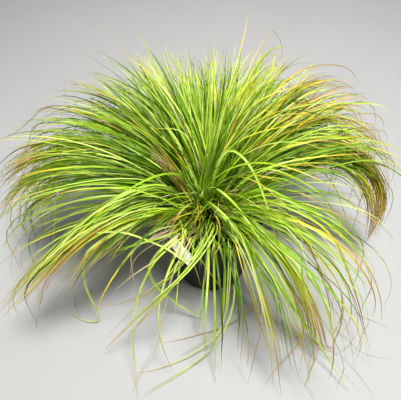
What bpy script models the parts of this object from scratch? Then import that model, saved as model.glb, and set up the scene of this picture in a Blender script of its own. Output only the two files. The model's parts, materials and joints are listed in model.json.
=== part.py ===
"""A potted sedge: a nursery pot with its soil, the crown, a plant label and the leaves in locks.

Metres, +Z up. The pot stands on z = 0 with its axis on the Z axis. The front of the plant, where the
label hangs and the leaves are thin, faces -Y.
"""

import math

import bmesh
import bpy
from mathutils import Matrix, Vector

OBJECT = "potted_sedge"

# Left between pieces that touch, and the distance within which doubled points are merged
GAP = 0.0003
MERGE_DISTANCE = 0.00001

# The pot: blown black plastic, tapered, with a wider band under its rim and a lip round the top
POT_HEIGHT = 0.168
POT_BASE_RADIUS = 0.0625
POT_SHOULDER_RADIUS = 0.0775
POT_RIM_RADIUS = 0.0820
RIM_BAND = 0.018
BAND_TAPER = 0.0015
LIP_HEIGHT = 0.003
FOOT_HEIGHT = 0.005
POT_EDGE = 0.001
POT_WALL = 0.0015
POT_SIDES = 48

# The drainage openings: round holes through the pot's lower edge
DRAIN_COUNT = 8
DRAIN_RADIUS = 0.007
DRAIN_REACH = 0.012
DRAIN_SIDES = 12

# The soil, a little below the rim
SOIL_LEVEL = 0.148
SOIL_SLUMP = 0.002

# The crown: a dome of leaf bases round the point that every leaf springs from
FOCUS = Vector((-0.009, 0.002, 0.116))
CROWN_RADIUS = 0.055
CROWN_SIDES = 24
CROWN_RINGS = 5

# The plant label: a strip of thin plastic that leans on the rim, pointed at its upper end
LABEL_WIDTH = 0.015
LABEL_LENGTH = 0.0525
LABEL_POINT = 0.013
LABEL_ROUND_STEPS = 8
LABEL_THICKNESS = 0.0008
LABEL_AZIMUTH = math.radians(240)
LABEL_CENTRE_RADIUS = 0.0908
LABEL_CENTRE_HEIGHT = 0.1567
LABEL_SLOPE = math.radians(-25)
LABEL_LEAN = math.radians(-40)

# The locks of leaves, spread over the crown by the golden angle and starting just clear of it
LOCK_COUNT = 54
GOLDEN_ANGLE = math.radians(137.508)
LOWEST_RISE = math.radians(40)
LEAN_BACK = 0.35
LOCK_START = CROWN_RADIUS + 0.0008
LOCK_STATIONS = 15
LOCK_SIDES = 4
BEND_LENGTH = 0.40
INNER_POWER = 1.15
STEEPEST = math.radians(-84)
FLOOR_CLEARANCE = 0.003
LANDING_HEIGHT = 0.05

# Half the width and half the thickness of a full lock, at its base and where it is widest
BASE_HALF_WIDTH = 0.0034
FULL_HALF_WIDTH = 0.0130
BASE_HALF_DEPTH = 0.0026
FULL_HALF_DEPTH = 0.0038
WIDEST_AT = 0.55
SWELL_POWER = 1.2

# The last stretch of a lock narrows to a share of its width, and to a share of its thickness
TAPER_LENGTH = 0.35
TIP_WIDTH = 0.16
TIP_DEPTH = 0.30

# How the leaves differ round the plant, by azimuth in degrees from +X towards +Y: length of the outer
# and the inner locks in metres, how far each bends over 0.4 m in degrees, sideways sweep in degrees at
# the tip, how late along an outer lock the bend comes, and how full the locks are
SECTORS = (
    (0, 0.36, 0.25, 178, 156, 0, 1.4, 0.15),
    (11, 0.46, 0.29, 150, 142, 0, 1.6, 0.9),
    (30, 0.46, 0.29, 146, 140, 0, 1.5, 1.0),
    (50, 0.43, 0.27, 146, 132, 4, 1.3, 1.0),
    (75, 0.39, 0.24, 140, 116, 4, 1.15, 1.0),
    (100, 0.38, 0.23, 140, 110, -2, 1.15, 1.0),
    (128, 0.385, 0.25, 142, 120, -4, 1.15, 1.0),
    (148, 0.41, 0.28, 146, 132, 0, 1.2, 1.0),
    (168, 0.48, 0.30, 148, 140, 0, 1.35, 1.0),
    (187, 0.48, 0.30, 148, 144, 0, 1.35, 0.9),
    (198, 0.40, 0.28, 156, 144, -4, 1.2, 0.4),
    (210, 0.49, 0.34, 142, 138, -8, 1.15, 0.75),
    (226, 0.30, 0.24, 190, 156, 0, 1.15, 0.05),
    (245, 0.40, 0.28, 230, 160, 0, 1.15, 0.10),
    (262, 0.36, 0.24, 280, 180, 0, 1.15, 0.03),
    (280, 0.36, 0.24, 280, 180, 0, 1.15, 0.05),
    (294, 0.43, 0.29, 204, 160, 0, 1.15, 0.30),
    (310, 0.44, 0.29, 172, 154, 4, 1.15, 0.60),
    (326, 0.41, 0.26, 174, 156, 4, 1.15, 0.45),
    (342, 0.35, 0.23, 178, 160, 4, 1.2, 0.14),
    (360, 0.36, 0.25, 178, 156, 0, 1.4, 0.15),
)

# The sides of the plant, each as wide as the next, from +X towards +Y
SIDES = ("right", "back_right", "back", "back_left", "left", "front_left", "front", "front_right")


def clear_scene():
    for old in list(bpy.data.objects):
        bpy.data.objects.remove(old, do_unlink=True)


def collection(name):
    made = bpy.data.collections.new(name)
    bpy.context.scene.collection.children.link(made)
    return made


def material(name, colour, roughness, metallic=0.0):
    made = bpy.data.materials.new(name)
    made.use_nodes = True
    shader = made.node_tree.nodes["Principled BSDF"]
    shader.inputs["Base Color"].default_value = (*colour, 1.0)
    shader.inputs["Roughness"].default_value = roughness
    shader.inputs["Metallic"].default_value = metallic
    return made


def add_mesh(group, name, mesh, surface=None):
    made = bpy.data.objects.new(name, mesh)
    group.objects.link(made)
    if surface:
        mesh.materials.append(surface)
    return made


def blend(low, high, share):
    return low + (high - low) * share


def turned(group, name, profile, steps, surface):
    """A turned solid: its profile, in radius and height, swept round Z by a Screw modifier."""
    mesh = bpy.data.meshes.new(name)
    edges = [(index, index + 1) for index in range(len(profile) - 1)]
    mesh.from_pydata([(radius, 0.0, height) for radius, height in profile], edges, [])
    made = add_mesh(group, name, mesh, surface)
    screw = made.modifiers.new("turn", "SCREW")
    screw.steps = steps
    screw.render_steps = steps
    screw.use_merge_vertices = True
    screw.merge_threshold = MERGE_DISTANCE
    screw.use_smooth_shade = True
    return made


def pot_outline():
    """Radius and height down the outer side of the pot, from its lip to its flat base."""
    shoulder = POT_HEIGHT - RIM_BAND
    return [
        (POT_RIM_RADIUS - POT_EDGE / 2, POT_HEIGHT),
        (POT_RIM_RADIUS, POT_HEIGHT - POT_EDGE),
        (POT_RIM_RADIUS, POT_HEIGHT - LIP_HEIGHT),
        (POT_RIM_RADIUS - POT_EDGE, POT_HEIGHT - LIP_HEIGHT - POT_EDGE),
        (POT_RIM_RADIUS - BAND_TAPER, shoulder + POT_EDGE),
        (POT_SHOULDER_RADIUS, shoulder - POT_EDGE),
        (POT_BASE_RADIUS + POT_EDGE, FOOT_HEIGHT),
        (POT_BASE_RADIUS, 2 * POT_EDGE),
        (POT_BASE_RADIUS - 2 * POT_EDGE, 0.0),
    ]


def wall_radius(height):
    """Outer radius of the tapered wall between the foot and the shoulder."""
    share = (height - FOOT_HEIGHT) / (POT_HEIGHT - RIM_BAND - POT_EDGE - FOOT_HEIGHT)
    return blend(POT_BASE_RADIUS + POT_EDGE, POT_SHOULDER_RADIUS, share)


def build_pot(group, cutters, surface):
    outer = pot_outline()
    inner = [(radius - POT_WALL, max(height, POT_WALL)) for radius, height in reversed(outer[1:])]
    profile = [(0.0, POT_WALL), *inner, *outer, (0.0, 0.0)]
    pot = turned(group, "pot", profile, POT_SIDES, surface)
    for index in range(DRAIN_COUNT):
        azimuth = math.tau * (index + 0.5) / DRAIN_COUNT
        bpy.ops.mesh.primitive_cylinder_add(vertices=DRAIN_SIDES, radius=DRAIN_RADIUS, depth=2 * DRAIN_REACH)
        drain = bpy.context.object
        drain.name = f"drain_cutter_{index + 1}"
        drain.matrix_world = (
            Matrix.Rotation(azimuth, 4, "Z")
            @ Matrix.Translation((POT_BASE_RADIUS, 0.0, 0.0))
            @ Matrix.Rotation(math.radians(90), 4, "Y")
        )
        drain.hide_render = True
        drain.display_type = "WIRE"
        for home in list(drain.users_collection):
            home.objects.unlink(drain)
        cutters.objects.link(drain)
        cut = pot.modifiers.new(f"drain_{index + 1}", "BOOLEAN")
        cut.operation = "DIFFERENCE"
        cut.object = drain
    return pot


def build_soil(group, surface):
    """The mix that fills the pot, sunk a little where it meets the wall."""
    inset = POT_WALL + GAP
    edge = SOIL_LEVEL - SOIL_SLUMP
    sides = [(radius - inset, max(height, inset)) for radius, height in pot_outline() if height < edge]
    top = [(0.0, SOIL_LEVEL), (CROWN_RADIUS, SOIL_LEVEL), (wall_radius(edge) - inset, edge)]
    return turned(group, "soil", [*top, *sides, (0.0, inset)], POT_SIDES, surface)


def build_crown(group, surface):
    """A cap of the sphere round FOCUS, standing on the soil, with its rings from the top down."""
    foot = SOIL_LEVEL + GAP - FOCUS.z
    last = math.asin(foot / CROWN_RADIUS)
    profile = []
    for ring in range(CROWN_RINGS + 1):
        angle = math.radians(90) + (last - math.radians(90)) * ring / CROWN_RINGS
        profile.append((CROWN_RADIUS * math.cos(angle), CROWN_RADIUS * math.sin(angle)))
    profile[0] = (0.0, CROWN_RADIUS)
    crown = turned(group, "crown", [*profile, (0.0, foot)], CROWN_SIDES, surface)
    crown.location = FOCUS
    return crown


def build_label(group, surface):
    """A flat outline, pointed at one end and round at the other, extruded to its thickness."""
    half_width = LABEL_WIDTH / 2
    straight_end = LABEL_LENGTH / 2 - half_width
    outline = [
        (-LABEL_LENGTH / 2, 0.0),
        (-LABEL_LENGTH / 2 + LABEL_POINT, -half_width),
    ]
    for step in range(LABEL_ROUND_STEPS + 1):
        angle = math.radians(-90 + 180 * step / LABEL_ROUND_STEPS)
        outline.append((straight_end + half_width * math.cos(angle), half_width * math.sin(angle)))
    outline.append((-LABEL_LENGTH / 2 + LABEL_POINT, half_width))
    flat = bpy.data.curves.new("plant_label", "CURVE")
    flat.dimensions = "2D"
    flat.fill_mode = "BOTH"
    flat.extrude = LABEL_THICKNESS / 2
    spline = flat.splines.new("POLY")
    spline.points.add(len(outline) - 1)
    for point, (along, across) in zip(spline.points, outline):
        point.co = (along, across, 0.0, 1.0)
    spline.use_cyclic_u = True
    flat.materials.append(surface)
    label = bpy.data.objects.new("plant_label", flat)
    group.objects.link(label)
    label.matrix_world = (
        Matrix.Rotation(LABEL_AZIMUTH, 4, "Z")
        @ Matrix.Translation((LABEL_CENTRE_RADIUS, 0.0, LABEL_CENTRE_HEIGHT))
        @ Matrix.Rotation(math.radians(90) + LABEL_LEAN, 4, "Y")
        @ Matrix.Rotation(math.radians(90) + LABEL_SLOPE, 4, "Z")
    )
    weld = label.modifiers.new("weld", "WELD")
    weld.merge_threshold = MERGE_DISTANCE
    return label


def sector(azimuth, inwardness):
    """A lock's values at an azimuth in degrees. inwardness is 0 for an outer and 1 for an inner lock."""
    turned_to = azimuth % 360
    for before, after in zip(SECTORS, SECTORS[1:]):
        if before[0] <= turned_to <= after[0]:
            share = (turned_to - before[0]) / (after[0] - before[0])
            share = share * share * (3 - 2 * share)
            outer_length, inner_length, outer_bend, inner_bend, sweep, power, fullness = (
                blend(low, high, share) for low, high in zip(before[1:], after[1:])
            )
            return (
                blend(outer_length, inner_length, inwardness),
                math.radians(blend(outer_bend, inner_bend, inwardness)),
                math.radians(sweep),
                blend(power, INNER_POWER, inwardness),
                fullness,
            )
    raise ValueError(f"no sector at {azimuth} degrees")


def heading(azimuth, rise):
    return Vector((math.cos(rise) * math.cos(azimuth), math.cos(rise) * math.sin(azimuth), math.sin(rise)))


def steepest_slope(height):
    """How steeply leaves fall at a height: they curve outward as they come down on the floor."""
    share = min(max((height - FLOOR_CLEARANCE) / LANDING_HEIGHT, 0.0), 1.0)
    return STEEPEST * math.sqrt(share)


def lock_guide(index):
    """The points along a lock's middle: it springs from the crown, arches over and may reach the floor."""
    share = (index + 0.5) / LOCK_COUNT
    turn = index * GOLDEN_ANGLE
    azimuth = turn + LEAN_BACK * math.cos(turn)
    rise = math.asin(1 - share * (1 - math.sin(LOWEST_RISE)))
    length, bend, sweep, power, fullness = sector(math.degrees(azimuth), 1 - share)
    step = length / LOCK_STATIONS
    point = FOCUS + LOCK_START * heading(azimuth, rise)
    guide = [point]
    for station in range(LOCK_STATIONS):
        run = (station + 0.5) * step
        slope = max(rise - bend * (run / BEND_LENGTH) ** power, steepest_slope(point.z))
        swept = azimuth + sweep * (run / length) ** 2
        ahead = point + step * heading(swept, slope)
        if ahead.z < FLOOR_CLEARANCE:
            drop = point.z - FLOOR_CLEARANCE
            ahead = point + math.sqrt(max(step * step - drop * drop, 0.0)) * heading(swept, 0.0)
            ahead.z = FLOOR_CLEARANCE
        point = ahead
        guide.append(point)
    return guide, math.degrees(azimuth) % 360, fullness


def lock_section(share, fullness):
    """Half the width and half the thickness of a lock, at a share of the way to its tip."""
    swell = math.sin(math.pi / 2 * share / WIDEST_AT) ** SWELL_POWER
    half_width = blend(BASE_HALF_WIDTH, FULL_HALF_WIDTH * math.sqrt(fullness), swell)
    half_depth = blend(BASE_HALF_DEPTH, FULL_HALF_DEPTH, math.sin(math.pi * share))
    tip = 1 - min((1 - share) / TAPER_LENGTH, 1.0)
    return half_width * blend(1.0, TIP_WIDTH, tip), half_depth * blend(1.0, TIP_DEPTH, tip)


def lock_mesh(name, guide, fullness):
    """A diamond, extruded from station to station along the guide, with its ridges above and below."""
    shape = bmesh.new()
    bmesh.ops.create_circle(shape, cap_ends=True, segments=LOCK_SIDES, radius=1.0)
    face = next(iter(shape.faces))
    for station, point in enumerate(guide):
        if station:
            passed = face
            made = bmesh.ops.extrude_face_region(shape, geom=[passed])
            face = next(part for part in made["geom"] if isinstance(part, bmesh.types.BMFace))
            if station > 1:
                bmesh.ops.delete(shape, geom=[passed], context="FACES_ONLY")
        behind = guide[max(station - 1, 0)]
        ahead = guide[min(station + 1, len(guide) - 1)]
        along = (ahead - behind).normalized()
        across = along.cross(Vector((0.0, 0.0, 1.0))).normalized()
        upward = across.cross(along)
        half_width, half_depth = lock_section(station / LOCK_STATIONS, fullness)
        for corner, vertex in enumerate(face.verts):
            angle = math.tau * corner / LOCK_SIDES
            vertex.co = point + across * half_width * math.cos(angle) + upward * half_depth * math.sin(angle)
    bmesh.ops.recalc_face_normals(shape, faces=shape.faces)
    mesh = bpy.data.meshes.new(name)
    shape.to_mesh(mesh)
    shape.free()
    mesh.shade_smooth()
    return mesh


def build_locks(group, surface):
    count = {side: 0 for side in SIDES}
    for index in range(LOCK_COUNT):
        guide, azimuth, fullness = lock_guide(index)
        side = SIDES[round(azimuth * len(SIDES) / 360) % len(SIDES)]
        count[side] += 1
        name = f"leaves_{side}_{count[side]}"
        add_mesh(group, name, lock_mesh(name, guide, fullness), surface)


clear_scene()
parts = collection(OBJECT)
helpers = collection("cutters")
black_plastic = material("black_plastic", (0.016, 0.019, 0.020), 0.45)
potting_mix = material("potting_mix", (0.055, 0.034, 0.020), 0.95)
dead_sheath = material("dead_sheath", (0.26, 0.20, 0.07), 0.80)
white_plastic = material("white_plastic", (0.78, 0.80, 0.76), 0.40)
leaf = material("leaf", (0.33, 0.43, 0.07), 0.45)
build_pot(parts, helpers, black_plastic)
build_soil(parts, potting_mix)
build_crown(parts, dead_sheath)
build_label(parts, white_plastic)
build_locks(parts, leaf)
bpy.context.view_layer.update()
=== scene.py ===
import json
import math
import random

import bmesh
import bpy
from mathutils import Matrix, Vector, noise

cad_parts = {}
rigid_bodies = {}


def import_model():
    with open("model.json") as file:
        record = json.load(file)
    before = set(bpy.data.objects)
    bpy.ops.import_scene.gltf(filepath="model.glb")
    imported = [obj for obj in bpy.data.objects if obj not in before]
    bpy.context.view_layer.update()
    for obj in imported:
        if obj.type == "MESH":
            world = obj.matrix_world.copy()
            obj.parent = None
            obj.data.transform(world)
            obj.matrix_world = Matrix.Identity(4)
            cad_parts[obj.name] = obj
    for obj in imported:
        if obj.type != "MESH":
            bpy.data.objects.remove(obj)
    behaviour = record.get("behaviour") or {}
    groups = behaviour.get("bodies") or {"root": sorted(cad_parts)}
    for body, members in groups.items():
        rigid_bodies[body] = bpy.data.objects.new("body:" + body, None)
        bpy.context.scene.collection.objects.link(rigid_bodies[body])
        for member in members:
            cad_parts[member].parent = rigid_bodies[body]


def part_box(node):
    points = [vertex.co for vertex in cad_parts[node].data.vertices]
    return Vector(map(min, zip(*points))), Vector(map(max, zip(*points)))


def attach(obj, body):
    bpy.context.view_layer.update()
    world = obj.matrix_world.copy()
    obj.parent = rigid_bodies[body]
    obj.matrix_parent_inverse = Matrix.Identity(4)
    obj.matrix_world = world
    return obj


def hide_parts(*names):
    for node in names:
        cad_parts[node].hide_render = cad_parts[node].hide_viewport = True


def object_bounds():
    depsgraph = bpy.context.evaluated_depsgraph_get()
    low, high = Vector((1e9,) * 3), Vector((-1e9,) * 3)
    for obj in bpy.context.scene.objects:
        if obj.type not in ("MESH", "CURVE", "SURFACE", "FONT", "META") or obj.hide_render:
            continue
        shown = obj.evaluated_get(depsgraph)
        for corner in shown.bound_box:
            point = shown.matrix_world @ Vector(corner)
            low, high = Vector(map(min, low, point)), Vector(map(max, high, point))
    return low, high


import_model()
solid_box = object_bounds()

# The camera stands in front of the plant, a little to its left, and looks down on it. Its place, tilt
# and focal length are those that the picture was taken from.
PICTURE_WIDTH = 401
PICTURE_HEIGHT = 400
FOCAL_PIXELS = 400
SENSOR_WIDTH = 36.0
CAMERA_PLACE = Vector((-0.018, -0.3754, 0.635))
CAMERA_TILT = math.radians(51)

camera_data = bpy.data.cameras.new("camera")
camera_data.sensor_width = SENSOR_WIDTH
camera_data.lens = SENSOR_WIDTH * FOCAL_PIXELS / PICTURE_WIDTH
camera_data.clip_start = 0.02
camera = bpy.data.objects.new("camera", camera_data)
camera.location = CAMERA_PLACE
camera.rotation_euler = (math.radians(90) - CAMERA_TILT, 0, 0)
bpy.context.scene.collection.objects.link(camera)
bpy.context.scene.camera = camera


def seen_at(pixel_x, pixel_y, height):
    """The point at a height in metres that the camera sees at a pixel of the picture."""
    forward = Vector((0, math.cos(CAMERA_TILT), -math.sin(CAMERA_TILT)))
    up = Vector((0, math.sin(CAMERA_TILT), math.cos(CAMERA_TILT)))
    rightward = (pixel_x - PICTURE_WIDTH / 2) / FOCAL_PIXELS
    upward = (PICTURE_HEIGHT / 2 - pixel_y) / FOCAL_PIXELS
    sight = forward + Vector((rightward, 0, 0)) + up * upward
    return CAMERA_PLACE + sight * ((height - CAMERA_PLACE.z) / sight.z)


# A plain pale floor and soft studio light: a strong panel above and a little to the right, a weak wide
# one at the left front, a third behind, and an even, pale surrounding.
FLOOR_SIDE = 6.0
SURROUNDING_STRENGTH = 0.07


class Channel:
    """A socket in a material's node tree. Arithmetic on it adds Math nodes."""

    def __init__(self, socket):
        self.socket = socket

    def node(self, kind, sockets, settings=(), output=0):
        """Adds a node, with its settings first and then the values or links of its sockets."""
        tree = self.socket.id_data
        made = tree.nodes.new("ShaderNode" + kind)
        for name, value in dict(settings).items():
            if name == "stops":
                ramp = made.color_ramp.elements
                while len(ramp) < len(value):
                    ramp.new(1.0)
                for stop, (position, colour) in zip(ramp, value):
                    stop.position = position
                    stop.color = (*colour, 1.0)
            else:
                setattr(made, name, value)
        for name, value in sockets.items():
            if isinstance(value, Channel):
                tree.links.new(value.socket, made.inputs[name])
            else:
                made.inputs[name].default_value = value
        return Channel(made.outputs[output])

    def feed(self, **channels):
        """Links channels to the sockets of the shader that this is the output of."""
        shader = self.socket.node
        for name, channel in channels.items():
            shader.id_data.links.new(channel.socket, shader.inputs[name.replace("_", " ")])

    def maths(self, operation, first, second=0.0):
        return self.node("Math", {0: first, 1: second}, {"operation": operation})

    def __add__(self, other):
        return self.maths("ADD", self, other)

    def __sub__(self, other):
        return self.maths("SUBTRACT", self, other)

    def __rsub__(self, other):
        return self.maths("SUBTRACT", other, self)

    def __mul__(self, other):
        return self.maths("MULTIPLY", self, other)

    __radd__ = __add__
    __rmul__ = __mul__

    def sine(self):
        return self.maths("SINE", self)

    def clamped(self):
        return self.node("Clamp", {"Value": self})

    def eased(self, low, high):
        """0 below low, 1 above high, and a smooth step between."""
        values = {"Value": self, "From Min": low, "From Max": high}
        return self.node("MapRange", values, {"interpolation_type": "SMOOTHSTEP"})

    def ramp(self, *stops):
        return self.node("ValToRGB", {"Fac": self}, {"stops": stops})

    def blotches(self, scale, detail=2.0, roughness=0.5):
        """Noise from 0 to 1 on this vector, with so many blotches to its unit."""
        values = {"Vector": self, "Scale": scale, "Detail": detail, "Roughness": roughness}
        return self.node("TexNoise", values)

    def mixed(self, first, second):
        """The colour first where this is 0, and second where it is 1."""
        return self.node("Mix", {0: self, 6: first, 7: second}, {"data_type": "RGBA"}, output=2)

    def bump(self, distance, strength=1.0):
        return self.node("Bump", {"Height": self, "Distance": distance, "Strength": strength})


def new_finish(name, **numbers):
    """A material, and the output of its Principled shader, which has these uniform numbers."""
    material = bpy.data.materials.new(name)
    material.use_nodes = True
    shader = material.node_tree.nodes["Principled BSDF"]
    for socket, number in numbers.items():
        shader.inputs[socket.replace("_", " ")].default_value = number
    return material, Channel(shader.outputs["BSDF"])


def colour(red, green, blue):
    return (red, green, blue, 1.0)


def add_piece(name, shape, *materials):
    """Makes an object of a bmesh, which it frees, with these materials."""
    mesh = bpy.data.meshes.new(name)
    shape.to_mesh(mesh)
    shape.free()
    for material in materials:
        mesh.materials.append(material)
    piece = bpy.data.objects.new(name, mesh)
    bpy.context.scene.collection.objects.link(piece)
    return piece


floor_finish, shader = new_finish("studio_floor", Roughness=0.9, Specular_IOR_Level=0.2)
place = shader.node("TexCoord", {}, output="Object")
shader.feed(Base_Color=place.blotches(3.0).mixed(colour(0.42, 0.42, 0.41), colour(0.46, 0.46, 0.45)))
shape = bmesh.new()
bmesh.ops.create_grid(shape, x_segments=1, y_segments=1, size=FLOOR_SIDE / 2)
floor = add_piece("studio_floor", shape, floor_finish)

PANELS = (
    ("key_panel", (0.30, -0.20, 2.0), 0.5, 68),
    ("fill_panel", (-1.4, -0.6, 1.2), 1.2, 3.5),
    ("back_panel", (0.2, 1.5, 1.3), 1.0, 5),
)
AIMED_AT = Vector((0, 0, 0.15))
for name, spot, side, watts in PANELS:
    light = bpy.data.lights.new(name, "AREA")
    light.size = side
    light.energy = watts
    panel = bpy.data.objects.new(name, light)
    panel.location = spot
    panel.rotation_euler = (AIMED_AT - Vector(spot)).to_track_quat("-Z", "Y").to_euler()
    bpy.context.scene.collection.objects.link(panel)

world = bpy.data.worlds.new("studio")
world.use_nodes = True
world.node_tree.nodes["Background"].inputs["Color"].default_value = colour(0.93, 0.96, 1.0)
world.node_tree.nodes["Background"].inputs["Strength"].default_value = SURROUNDING_STRENGTH
bpy.context.scene.world = world
bpy.context.scene.view_settings.view_transform = "Standard"

# The pot is blown from black polythene in one piece: a thin tapered wall with a wider band under its
# rim, a rolled lip, a small foot and round drainage holes through the edge of its base.
POT_HEIGHT = 0.168
POT_BASE_RADIUS = 0.0625
POT_SHOULDER_RADIUS = 0.0775
POT_RIM_RADIUS = 0.0820
RIM_BAND = 0.018
SHOULDER = POT_HEIGHT - RIM_BAND
BAND_TAPER = 0.0015
LIP_HEIGHT = 0.003
LIP_STEPS = 6
FOOT_HEIGHT = 0.005
POT_EDGE = 0.001
POT_WALL = 0.0015
WALL_RINGS = 6
POT_STEPS = 128
DRAIN_COUNT = 8
DRAIN_RADIUS = 0.007
DRAIN_DEPTH = 0.024


def turned(outline, steps):
    """A bmesh of an outline, in radius and height, spun round the Z axis from one end to the other."""
    shape = bmesh.new()
    points = [shape.verts.new((radius, 0, height)) for radius, height in outline]
    edges = [shape.edges.new(pair) for pair in zip(points, points[1:])]
    bmesh.ops.spin(shape, geom=points + edges, axis=(0, 0, 1), angle=math.tau, steps=steps, use_merge=True)
    bmesh.ops.remove_doubles(shape, verts=shape.verts, dist=0.00001)
    bmesh.ops.recalc_face_normals(shape, faces=shape.faces)
    return shape


def pot_radius(height):
    """Outer radius of the tapered wall and the band, for what hangs against them."""
    if height > SHOULDER:
        return POT_RIM_RADIUS
    share = (height - FOOT_HEIGHT) / (SHOULDER - FOOT_HEIGHT)
    return POT_BASE_RADIUS + (POT_SHOULDER_RADIUS - POT_BASE_RADIUS) * share


outer = []
for step in range(LIP_STEPS + 1):
    angle = math.radians(180 * step / LIP_STEPS)
    outer.append((
        POT_RIM_RADIUS - LIP_HEIGHT / 2 + LIP_HEIGHT / 2 * math.sin(angle),
        POT_HEIGHT - LIP_HEIGHT / 2 + LIP_HEIGHT / 2 * math.cos(angle),
    ))
outer += [
    (POT_RIM_RADIUS - POT_EDGE, POT_HEIGHT - LIP_HEIGHT - POT_EDGE / 2),
    (POT_RIM_RADIUS - BAND_TAPER, SHOULDER + 2 * POT_EDGE),
    (POT_RIM_RADIUS - BAND_TAPER - 0.3 * POT_EDGE, SHOULDER + POT_EDGE),
    (POT_SHOULDER_RADIUS + POT_EDGE, SHOULDER),
    (POT_SHOULDER_RADIUS, SHOULDER - POT_EDGE),
]
for ring in range(1, WALL_RINGS + 1):
    height = SHOULDER - POT_EDGE + (FOOT_HEIGHT + POT_EDGE - SHOULDER) * ring / WALL_RINGS
    outer.append((pot_radius(height) + POT_EDGE * ring / WALL_RINGS, height))
outer += [
    (POT_BASE_RADIUS, 2 * POT_EDGE),
    (POT_BASE_RADIUS - 0.6 * POT_EDGE, 0.6 * POT_EDGE),
    (POT_BASE_RADIUS - 2 * POT_EDGE, 0),
]
inner = [(radius - POT_WALL, max(height, POT_WALL)) for radius, height in reversed(outer[LIP_STEPS:])]
shape = turned([(0, POT_WALL), *inner, *outer, (0, 0)], POT_STEPS)

pot_finish, shader = new_finish("black_pot_plastic", Specular_IOR_Level=0.2)
place = shader.node("TexCoord", {}, output="Object")
height = place.node("SeparateXYZ", {"Vector": place}, output="Z")
dust = place.blotches(55, detail=5, roughness=0.6).eased(0.48, 0.75)
splashes = (0.05 - height).eased(0.0, 0.05) * place.blotches(140, detail=3).eased(0.42, 0.62)
scuffs = place.blotches(24, detail=1).eased(0.45, 0.7) * place.blotches(900, detail=2).eased(0.5, 0.62)
bare = scuffs.mixed(colour(0.0020, 0.0034, 0.0030), colour(0.008, 0.010, 0.010))
dusty = (dust * 0.16).mixed(bare, colour(0.055, 0.050, 0.042))
flow = place.node("Mapping", {"Vector": place, "Scale": (1.0, 1.0, 0.12)})
moulding = flow.blotches(260, detail=2)
shader.feed(
    Base_Color=(splashes * 0.6).mixed(dusty, colour(0.085, 0.062, 0.040)),
    Roughness=(0.42 + dust * 0.20 + scuffs * 0.12 + splashes * 0.2).clamped(),
    Normal=(moulding * 0.6 + place.blotches(1500) * 0.4).bump(0.00012, 0.6),
)
pot = add_piece("blown_pot", shape, pot_finish)
for drain in range(DRAIN_COUNT):
    azimuth = math.tau * (drain + 0.5) / DRAIN_COUNT
    shape = bmesh.new()
    bmesh.ops.create_cone(
        shape, cap_ends=True, segments=24, radius1=DRAIN_RADIUS, radius2=DRAIN_RADIUS, depth=DRAIN_DEPTH
    )
    outward = Matrix.Translation((POT_BASE_RADIUS, 0, 0)) @ Matrix.Rotation(math.radians(90), 4, "Y")
    bmesh.ops.transform(shape, matrix=Matrix.Rotation(azimuth, 4, "Z") @ outward, verts=shape.verts)
    cutter = add_piece(f"drain_cutter_{drain + 1}", shape)
    cut = pot.modifiers.new("drain", "BOOLEAN")
    cut.operation = "DIFFERENCE"
    cut.object = cutter
bpy.context.view_layer.update()
cut_mesh = bpy.data.meshes.new_from_object(pot.evaluated_get(bpy.context.evaluated_depsgraph_get()))
pot.modifiers.clear()
pot.data = cut_mesh
for cutter in [other for other in bpy.data.objects if other.name.startswith("drain_cutter")]:
    bpy.data.objects.remove(cutter)
pot.data.shade_smooth()
pot.data.set_sharp_from_angle(angle=math.radians(40))
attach(pot, "root")
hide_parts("pot")

# The potting mix: brown, crumbly bark and peat that fills the pot to 20 mm below its rim, with chips of
# bark and wood lying loose on it.
SOIL_LEVEL = 0.148
SOIL_SLUMP = 0.002
SOIL_EDGE_GAP = 0.0003
SOIL_EDGE_BAND = 0.0005
SOIL_STEPS = 96
SOIL_RINGS = 14
CRUMB_HEIGHT = 0.0022
CRUMBS_A_METRE = (160, 420)
CHIP_COUNT = 260
CHIP_SIZES = (0.0012, 0.0030)
CHIP_SHAPE = ((0.8, 2.6), (0.6, 1.1), (0.3, 0.7))
CHIP_MARGIN = 0.006
CHIP_SINKING = 0.0016

pick = random.Random(5)
soil_edge = POT_SHOULDER_RADIUS - POT_WALL - SOIL_EDGE_GAP - SOIL_EDGE_BAND
soil_outline = [
    (soil_edge * ring / SOIL_RINGS, SOIL_LEVEL - CRUMB_HEIGHT - SOIL_SLUMP * (ring / SOIL_RINGS) ** 4)
    for ring in range(SOIL_RINGS + 1)
]
soil_foot = POT_WALL + SOIL_EDGE_GAP
soil_outline += [
    (POT_BASE_RADIUS - POT_WALL, 0.01),
    (POT_BASE_RADIUS - 2 * POT_WALL, soil_foot),
    (0, soil_foot),
]
shape = turned(soil_outline, SOIL_STEPS)
for vertex in shape.verts:
    if vertex.co.z > SOIL_LEVEL - 3 * CRUMB_HEIGHT and vertex.co.xy.length < soil_edge - SOIL_EDGE_BAND:
        coarse, fine = [noise.noise(vertex.co * scale) for scale in CRUMBS_A_METRE]
        vertex.co.z += CRUMB_HEIGHT * coarse + 0.4 * CRUMB_HEIGHT * fine
for face in shape.faces:
    face.smooth = True
for chip in range(CHIP_COUNT):
    azimuth = pick.uniform(0, math.tau)
    reach = (soil_edge - CHIP_MARGIN) * math.sqrt(pick.random())
    size = pick.uniform(*CHIP_SIZES)
    placing = (
        Matrix.Translation((reach * math.cos(azimuth), reach * math.sin(azimuth), SOIL_LEVEL - CHIP_SINKING))
        @ Matrix.Rotation(pick.uniform(0, math.tau), 4, "Z")
        @ Matrix.Rotation(pick.uniform(-0.5, 0.5), 4, "X")
        @ Matrix.Diagonal([size * pick.uniform(low, high) for low, high in CHIP_SHAPE] + [1])
    )
    made = bmesh.ops.create_icosphere(shape, subdivisions=1, radius=1.0)
    for vertex in made["verts"]:
        vertex.co *= pick.uniform(0.75, 1.15)
    bmesh.ops.transform(shape, matrix=placing, verts=made["verts"])
soil_finish, shader = new_finish("potting_mix_surface", Specular_IOR_Level=0.25)
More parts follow.
